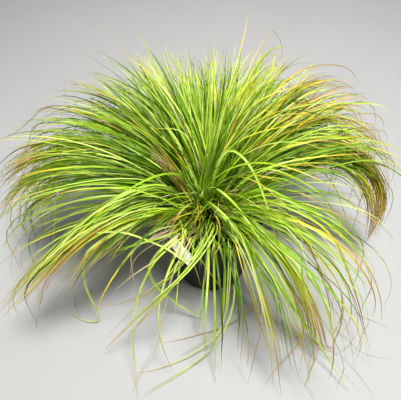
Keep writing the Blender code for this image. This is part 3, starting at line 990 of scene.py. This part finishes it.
    ("front", 1, 0, 1, 0.95, 0.3, 0, 0, 0, (178, 214, 175), (183, 228, 178), (182, 240, 172),
     (182, 247, 163)),
    ("front", 1, 0, 0.8, 0.8, 0.5, 0, 0, 0, (176, 212, 175), (181, 224, 178), (187, 238, 175),
     (192, 250, 165)),
    ("front", 1, 0, 1.5, 0.85, 0.15, 0, 0, 0, (210, 236, 168), (209, 246, 165), (206, 266, 140),
     (203, 291, 100), (199, 325, 35), (198, 334, 10)),
    ("front", 1, 0, 1.5, 0.8, 0.1, 0, 0, 0, (214, 236, 168), (214, 246, 165), (214, 273, 140),
     (215, 306, 100), (215, 338, 60), (215.5, 365, 25), (215.5, 383, 4)),
    ("front", 1, 0, 1.2, 0.7, 0.3, 0, 0, 0, (214, 240, 170), (223, 255, 160), (226, 273, 130),
     (225, 291, 100), (224, 306, 80), (218, 328, 45)),
    ("front", 3, 6, 1, 0.95, 0.35, 0, 0, 0, (226, 233, 168), (229, 257, 155), (228, 279, 125),
     (227, 300, 90), (226, 312, 70), (220, 333, 40), (206, 345, 20), (188, 357, 8), (172, 364, 4),
     (156, 370, 3), (136, 373, 3)),
    ("front", 2, 5, 1, 0.95, 0.35, 0, 0, 0, (230, 225, 172), (234, 241, 170), (234.5, 273, 130),
     (234.5, 297, 95), (231, 317, 65), (221, 338, 35), (202, 358, 10), (178, 374, 4), (145, 393, 3)),
    ("front", 1, 0, 0.5, 0.8, 0.6, 0, 0, 0, (186, 236, 168), (197, 254, 168), (210, 273, 140),
     (224, 292, 110), (233, 299, 100)),
    ("front", 1, 0, 0.8, 0.6, 0.3, 0, 0, 0, (192, 248, 172), (193, 262, 165), (198, 275, 145),
     (201, 287, 125)),
    ("front", 1, 0, 1.9, 0.9, 0.1, 0, 0, 0, (172, 240, 172), (158, 252, 165), (149, 265, 140),
     (149, 273, 120), (154, 284, 90), (167, 297, 50), (188, 311, 20), (208, 320, 4)),
    ("front", 1, 0, 1, 0.4, 0.8, 0, 0, 0, (240, 245, 165), (256, 275, 110), (262, 295, 50), (254, 307, 15),
     (239, 319, 6), (221, 329, 4), (201, 334, 3), (183, 339, 3), (161, 343, 3)),
    ("front", 1, 0, 1.2, 0.9, 0.1, 0, 0, 0, (206, 236, 172), (197, 252, 178), (190, 263, 170),
     (184, 261, 168), (176, 255, 170), (168, 249, 180), (147, 240, 200), (128, 233, 210), (112, 231, 220),
     (80, 235, 200), (50, 255, 150)),
    ("left", 1, 0, 0.6, 0.9, 0.3, 0, 0, 0, (185, 224, 168), (170, 226, 180), (156, 230, 185),
     (134, 244, 165), (112, 259, 135), (95, 272, 105)),
    ("left", 2, 6, 1.1, 0.6, 0.2, 0, 0, 0, (185, 228, 168), (169, 236, 175), (145, 242, 180),
     (129, 246, 175), (112, 251, 160), (102, 256, 145), (97, 261, 130)),
    ("front", 3, 14, 0.9, 0.2, 0.5, 1, 0, 0, (165, 235, 180), (140, 243, 165), (130, 255, 140),
     (132, 268, 120), (134, 284, 90), (136, 295, 70)),
    ("front", 2, 6, 0.9, 0.8, 0.6, 0, 0, 0, (188, 246, 172), (167, 279, 140), (154, 286, 120),
     (141, 296, 90), (128, 301, 70), (112, 306, 50), (97, 305, 45)),
    ("front", 2, 8, 1.5, 0.8, 0.8, 0, 316, 313, (225, 205), (256, 234), (272, 253), (285, 276), (299, 299),
     (309, 320), (315, 339)),
    ("front", 7, 9, 1.2, 0.85, 0.6, 0, 296, 295, (230, 225), (246, 245), (255, 274), (264, 302),
     (272, 331), (277, 358), (278, 367), (281, 395)),
    ("front", 2, 8, 1.1, 0.85, 0.5, 0, 294, 296, (232, 230), (241, 247), (247, 279), (256, 307),
     (264, 339), (277, 363)),
    ("front", 1, 0, 0.6, 0.6, 0.5, 1, 290, 285, (232, 232), (250, 265), (262, 300), (263, 325), (256, 349),
     (251, 371), (246, 389)),
    ("right", 1, 0, 1.2, 0.8, 0.5, 0, 338, 334, (262, 190), (300, 205), (337, 230), (354, 247), (369, 268),
     (378, 288), (382, 307), (381, 322)),
    ("right", 2, 8, 1.2, 0.8, 0.7, 0, 328, 327, (255, 195), (300, 212), (329, 230), (341, 253), (351, 281),
     (360, 307), (365, 332), (370, 350)),
    ("right", 3, 8, 1.1, 0.85, 0.8, 0, 322, 320, (250, 200), (285, 220), (309, 243), (320, 272),
     (329, 298), (331, 320), (330, 332)),
    ("right", 2, 8, 1.1, 0.85, 0.6, 0, 325, 320, (250, 200), (285, 222), (310, 245), (328, 268),
     (340, 285), (343, 302), (341, 320), (332, 336)),
    ("front", 1, 0, 1, 0.9, 0.9, 0, 318, 318, (225, 212), (250, 235), (273, 254), (290, 266), (303, 276),
     (318, 286)),
    ("front", 1, 0, 1.1, 0.85, 0.7, 0, 0, 0, (240, 215, 200), (270, 250, 180), (292, 290, 130),
     (303, 325, 70), (303, 339, 45), (290, 354, 20), (278, 366, 8), (264, 386, 4)),
    ("front", 1, 0, 0.6, 0.6, 0.5, 1, 0, 0, (245, 205, 210), (280, 232, 195), (305, 262, 150),
     (320, 290, 90), (337, 312, 50), (345, 330, 20), (354, 343, 8), (364, 354, 4), (380, 357, 3),
     (398, 359, 3)),
    ("front", 1, 0, 0.7, 0.7, 0.8, 0, 0, 0, (255, 200, 210), (300, 228, 200), (335, 262, 150),
     (355, 300, 70), (359, 329, 20), (354, 341, 10), (344, 350, 5), (322, 362, 3)),
    ("front", 2, 6, 1.1, 0.9, 0.7, 0, 0, 0, (235, 208, 200), (260, 228, 200), (285, 258, 170),
     (305, 294, 120), (315, 330, 60), (319, 353, 30), (309, 375, 8), (304, 388, 3)),
    ("front", 26, 12, 1, 0.85, 0.75, 0, 312, 318, (225, 206), (250, 222), (275, 245), (295, 275),
     (308, 305), (316, 335), (319, 352), (318, 366)),
    ("front", 10, 13, 0.9, 0.85, 0.6, 0, 303, 306, (222, 215), (243, 235), (263, 262), (280, 290),
     (295, 322), (304, 350), (308, 370)),
    ("front", 4, 12, 1, 0.5, 0.2, 0, 301, 302, (230, 225), (250, 250), (265, 268), (276, 285), (282, 320),
     (288, 356), (294, 378)),
    ("front", 2, 10, 0.9, 0.8, 0.6, 0, 312, 308, (230, 210), (262, 222), (285, 230), (300, 243),
     (302, 268), (303, 302), (304, 339), (302, 358), (297, 369)),
)
fine_pattern = leaf_blank(STRAY_STATIONS)
pick = random.Random(31)
stray_shapes = {}
for side, count, spread, half_width, tone, turning, dead, first_azimuth, last_azimuth, *pixels in STRAYS:
    if side not in stray_shapes:
        stray_shapes[side] = new_bundle(leaf_pattern)
    marks = []
    for index, (pixel_x, pixel_y, *height) in enumerate(pixels):
        azimuth = math.radians(first_azimuth + (last_azimuth - first_azimuth) * index / (len(pixels) - 1))
        if height:
            marks.append(seen_at(pixel_x, pixel_y, height[0] / MM_A_METRE))
        else:
            marks.append(seen_on(pixel_x, pixel_y, azimuth))
    for leaf in range(count):
        offset = Vector([pick.gauss(0, spread / MM_A_METRE) for axis in range(3)])
        base_offset = Vector([pick.gauss(0, BASE_SPREAD) for axis in range(3)]) if leaf else Vector()
        moved = []
        for index, mark in enumerate(marks):
            share = (index + 1) / len(marks)
            moved.append(mark + base_offset * (1 - share) + offset * share if leaf else mark.copy())
        base = FOCUS + LEAF_START * (moved[0] - FOCUS).normalized() + base_offset
        route = smooth_route([base, *moved], STRAY_STATIONS)
        if leaf:
            last_kept = pick.uniform(*FOLLOWER_LENGTHS) * STRAY_STATIONS
            kept = [route[round(last_kept * step / FOLLOWER_MARKS)] for step in range(FOLLOWER_MARKS + 1)]
            route = smooth_route(kept, LEAF_STATIONS)
        route = [clear_of_pot(point) for point in route]
        for inner, outer in zip(route, route[1:]):
            lift_over_rim(inner, outer)
        way = route[len(route) // 2] - route[0]
        lay_leaf(
            stray_shapes[side],
            leaf_pattern if leaf else fine_pattern,
            route,
            Vector((-way.y, way.x, 0)).normalized(),
            half_width / MM_A_METRE * (pick.uniform(*FOLLOWER_WIDTHS) if leaf else 1.0),
            roll=pick.gauss(0, 25) if leaf else 0.0,
            twist=pick.gauss(0, 50 if leaf else 15),
            tone=min(max(tone + (pick.gauss(0, FOLLOWER_TONE_SPREAD) if leaf else 0.0), 0.0), 1.0),
            turning=turning * (pick.uniform(*FOLLOWER_TURNING) if leaf else 1.0),
            dead=dead,
            faced=None if leaf else (CAMERA_PLACE - route[STRAY_STATIONS // 2]).normalized(),
        )
for side, shape in stray_shapes.items():
    strays = add_piece(f"stray_leaves_{side}", shape, leaf_finish)
    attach(strays, "root")

# The crown: the tight tussock of leaf bases and dead brown sheaths that every shoot comes out of. It
# is rooted in the potting mix, and rises out of it as a low, lumpy dome.
crown_finish, shader = new_finish("leaf_base_thatch", Specular_IOR_Level=0.3)
place = shader.node("TexCoord", {}, output="Object")
centred = place.node("VectorMath", {0: place, 1: tuple(FOCUS)}, {"operation": "SUBTRACT"})
fibre = centred.node("VectorMath", {0: centred}, {"operation": "NORMALIZE"}).blotches(38, detail=3)
husk = place.blotches(90, detail=3)
shader.feed(
    Base_Color=(fibre * 0.6 + husk * 0.4).ramp(
        (0.30, (0.020, 0.030, 0.006)),
        (0.45, (0.060, 0.075, 0.012)),
        (0.58, (0.160, 0.110, 0.035)),
        (0.72, (0.330, 0.240, 0.100)),
    ),
    Roughness=(0.6 + husk * 0.3).clamped(),
    Normal=fibre.bump(0.0012, 0.9),
)
CORE_RADIUS = 0.044
LUMP = 0.004
LUMP_SCALES = (9, 26)
shape = bmesh.new()
bmesh.ops.create_uvsphere(shape, u_segments=64, v_segments=32, radius=CORE_RADIUS)
bmesh.ops.translate(shape, verts=shape.verts, vec=FOCUS)
cut_height = SOIL_LEVEL - CRUMB_HEIGHT - 0.001
everything = list(shape.verts) + list(shape.edges) + list(shape.faces)
cut = bmesh.ops.bisect_plane(
    shape, geom=everything, plane_co=(0, 0, cut_height), plane_no=(0, 0, 1), clear_inner=True
)
rim_edges = [part for part in cut["geom_cut"] if isinstance(part, bmesh.types.BMEdge)]
bmesh.ops.contextual_create(shape, geom=rim_edges)
for vertex in shape.verts:
    away = (vertex.co - FOCUS).normalized()
    coarse, fine = [noise.noise(away * scale) for scale in LUMP_SCALES]
    if vertex.co.z > cut_height + 0.0005:
        vertex.co += away * (coarse * LUMP + fine * LUMP / 2)
for face in shape.faces:
    face.smooth = True
crown = add_piece("crown_of_sheaths", shape, crown_finish)
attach(crown, "root")
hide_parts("crown")

# The sheaths: each shoot's foot is wrapped in short leaf bases, red-brown below and green above. They
# stand close together on the crown and hide it from every side.
SHEATH_STATIONS = 7
SHEATH_COUNT = 460
SHEATH_LENGTHS = (0.025, 0.070)
SHEATH_HALF_WIDTHS = (0.0007, 0.0016)
SHEATH_LOWEST = math.radians(42)
SHEATH_BEND = 9
DEAD_SHEATHS = 0.06

sheath_finish, shader = new_finish("leaf_sheath", Specular_IOR_Level=0.4)
along = leaf_value("along")
tone = leaf_value("tone")
dead = leaf_value("dead")
ribbed = shader.node("CombineXYZ", {"X": leaf_value("across") * 3.0, "Y": along * 2.0, "Z": tone * 37.0})
streaks = ribbed.blotches(3.0, detail=3)
husk = (along + (streaks - 0.5) * 0.5 + (tone - 0.5) * 0.5).clamped().ramp(
    (0.05, (0.030, 0.012, 0.006)),
    (0.22, (0.090, 0.060, 0.014)),
    (0.45, (0.120, 0.220, 0.012)),
    (0.90, (0.280, 0.480, 0.016)),
)
dry = streaks.ramp(
    (0.25, (0.150, 0.085, 0.035)),
    (0.50, (0.360, 0.260, 0.120)),
    (0.75, (0.560, 0.480, 0.280)),
)
shader.feed(
    Base_Color=dead.mixed(husk, dry),
    Roughness=(0.45 + streaks * 0.2 + dead * 0.2).clamped(),
    Normal=streaks.bump(0.0001, 0.6),
)
sheath_pattern = leaf_blank(SHEATH_STATIONS)
pick = random.Random(71)
shape = new_bundle(sheath_pattern)
for sheath in range(SHEATH_COUNT):
    azimuth = pick.uniform(0, math.tau)
    rise = math.asin(pick.uniform(math.sin(SHEATH_LOWEST), 1.0))
    length = pick.uniform(*SHEATH_LENGTHS)
    points = [FOCUS + (CORE_RADIUS - 0.002) * heading(azimuth, rise)]
    for station in range(SHEATH_STATIONS):
        slope = rise - math.radians(pick.uniform(0, SHEATH_BEND)) * station
        points.append(points[-1] + length / SHEATH_STATIONS * heading(azimuth, slope))
        lift_over_rim(points[-2], points[-1])
    lay_leaf(
        shape,
        sheath_pattern,
        points,
        leftward(azimuth),
        pick.uniform(*SHEATH_HALF_WIDTHS),
        roll=pick.gauss(0, 20),
        twist=pick.gauss(0, 40),
        tone=pick.random(),
        turning=0.0,
        dead=1.0 if pick.random() < DEAD_SHEATHS else 0.0,
    )
sheaths = add_piece("leaf_sheaths", shape, sheath_finish)
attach(sheaths, "root")

# The short leaves: new and broken ones that stand between the long leaves and fall over the crown and
# the rim, most of them at the front, where the clump is thin.
SHORT_COUNT = 155
SHORT_LENGTHS = (0.05, 0.120)
SHORT_RISES = (42, 80)
SHORT_BENDS = (220, 470)
SHORT_WAVES = (5, 25)
SHORT_KINKS = (20, 70)
SHORT_HALF_WIDTHS = (0.0004, 0.0012)
SHORT_KINKED_SHARE = 0.15
SHORT_DEAD_SHARE = 0.10
SHORT_LABEL_CLEARING = 0.021
ON_SOIL = SOIL_LEVEL + 0.0008
FRONT = math.radians(278)
FRONT_SPREAD = math.radians(62)


def above_soil(point):
    """Lifts a point out of the soil, or clear of the pot."""
    if point.xy.length < POT_SHOULDER_RADIUS:
        point.z = max(point.z, ON_SOIL)
    return clear_of_pot(point)


pick = random.Random(73)
shape = new_bundle(leaf_pattern)
for leaf in range(SHORT_COUNT):
    azimuth = pick.gauss(FRONT, FRONT_SPREAD)
    rise = math.radians(pick.uniform(*SHORT_RISES))
    foot = scattered_foot()
    habit = {
        "bend": pick.uniform(*SHORT_BENDS),
        "sweep": pick.gauss(0, 35),
        "power": INNER_POWER,
        "wave": pick.uniform(*SHORT_WAVES),
        "phase": pick.uniform(0, math.tau),
        "kink_at": pick.uniform(0.4, 0.9) if pick.random() < SHORT_KINKED_SHARE else NO_KINK,
        "kink": pick.uniform(*SHORT_KINKS),
    }
    points = leaf_points(foot, azimuth, rise, pick.uniform(*SHORT_LENGTHS), **habit)
    if hides_label(points, SHORT_LABEL_CLEARING):
        continue
    lay_leaf(
        shape,
        leaf_pattern,
        [above_soil(point) for point in points],
        leftward(azimuth),
        pick.uniform(*SHORT_HALF_WIDTHS),
        roll=pick.gauss(0, 40),
        twist=pick.gauss(0, 80),
        tone=pick.uniform(0.25, 0.95),
        turning=pick.uniform(0.1, 0.8),
        dead=1.0 if pick.random() < SHORT_DEAD_SHARE else 0.0,
    )
short_leaves = add_piece("short_leaves", shape, leaf_finish)
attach(short_leaves, "root")

# The thatch: last year's leaves, dry threads of straw that have fallen round the crown. They lie on the
# soil in a tangle, and some hang a little way over the rim.
THATCH_COUNT = 260
THATCH_LENGTHS = (0.030, 0.095)
THATCH_HALF_WIDTHS = (0.0003, 0.0008)
THATCH_RISES = (30, 60)
THATCH_FALL = math.radians(-60)
THATCH_DEAD_SHARE = 0.75

pick = random.Random(72)
shape = new_bundle(leaf_pattern)
for thread in range(THATCH_COUNT):
    azimuth = pick.uniform(0, math.tau)
    rise = math.radians(pick.uniform(*THATCH_RISES))
    length = pick.uniform(*THATCH_LENGTHS)
    aside = azimuth + pick.gauss(0, 0.7)
    points = [FOCUS + (CORE_RADIUS - 0.001) * heading(azimuth, rise)]
    for station in range(LEAF_STATIONS):
        share = (station + 0.5) / LEAF_STATIONS
        turned_to = azimuth + (aside - azimuth) * share + 0.25 * math.sin(9 * share + thread)
        slope = max(rise * (1 - 2.6 * share), THATCH_FALL)
        points.append(above_soil(points[-1] + length / LEAF_STATIONS * heading(turned_to, slope)))
    lay_leaf(
        shape,
        leaf_pattern,
        points,
        leftward(azimuth),
        pick.uniform(*THATCH_HALF_WIDTHS),
        roll=pick.gauss(0, 60),
        twist=pick.gauss(0, 120),
        tone=pick.random(),
        turning=0.5,
        dead=1.0 if pick.random() < THATCH_DEAD_SHARE else 0.3,
    )
thatch = add_piece("dead_thatch", shape, leaf_finish)
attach(thatch, "root")

# The plant label: a strip of thin white plastic, cut to a point at one end and rounded at the other. It
# is pushed in among the leaves and leans on the outside of the rim, with nothing on it.
LABEL_WIDTH = 0.015
LABEL_LENGTH = 0.0525
LABEL_POINT = 0.013
LABEL_THICKNESS = 0.0008
LABEL_NARROWEST = 0.0004
LABEL_AZIMUTH = math.radians(240)
LABEL_CENTRE_RADIUS = 0.0908
LABEL_CENTRE_HEIGHT = 0.1567
LABEL_SLOPE = math.radians(-25)
LABEL_LEAN = math.radians(-40)
LABEL_BOW = 0.0016
LABEL_WARP = 0.0006
LABEL_COLUMNS = 32
LABEL_ROWS = 4

shape = bmesh.new()
bmesh.ops.create_grid(shape, x_segments=LABEL_COLUMNS, y_segments=LABEL_ROWS, size=1.0)
for vertex in shape.verts:
    along_label = vertex.co.x * LABEL_LENGTH / 2
    half = LABEL_WIDTH / 2
    from_point = along_label + LABEL_LENGTH / 2
    from_round = LABEL_LENGTH / 2 - along_label
    if from_point < LABEL_POINT:
        half *= max(from_point / LABEL_POINT, 0.04)
    if from_round < half:
        half = max(math.sqrt(max(half ** 2 - (half - from_round) ** 2, 0)), LABEL_NARROWEST)
    bowed = LABEL_BOW * (1 - vertex.co.x ** 2) - LABEL_BOW / 2
    vertex.co = (along_label, vertex.co.y * half, bowed + LABEL_WARP * vertex.co.y * vertex.co.x)
skin = list(shape.faces)
bmesh.ops.recalc_face_normals(shape, faces=skin)
bmesh.ops.solidify(shape, geom=skin, thickness=LABEL_THICKNESS)
bmesh.ops.recalc_face_normals(shape, faces=shape.faces)
placing = (
    Matrix.Rotation(LABEL_AZIMUTH, 4, "Z")
    @ Matrix.Translation((LABEL_CENTRE_RADIUS, 0, LABEL_CENTRE_HEIGHT))
    @ Matrix.Rotation(math.radians(90) + LABEL_LEAN, 4, "Y")
    @ Matrix.Rotation(math.radians(90) + LABEL_SLOPE, 4, "Z")
)
bmesh.ops.transform(shape, matrix=placing, verts=shape.verts)
label_finish, shader = new_finish("white_label_plastic", Specular_IOR_Level=0.5)
place = shader.node("TexCoord", {}, output="Object")
grime = place.blotches(160, detail=4).eased(0.45, 0.75)
specks = place.blotches(1300, detail=1).eased(0.66, 0.72)
soiled = (grime * 0.25).mixed(colour(0.95, 0.95, 0.92), colour(0.60, 0.57, 0.46))
shader.feed(
    Base_Color=(specks * 0.5).mixed(soiled, colour(0.20, 0.15, 0.09)),
    Roughness=(0.32 + grime * 0.3).clamped(),
    Normal=place.blotches(500).bump(0.00008, 0.5),
)
label = add_piece("bare_label", shape, label_finish)
label.data.shade_smooth()
label.data.set_sharp_from_angle(angle=math.radians(35))
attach(label, "root")
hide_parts("plant_label")
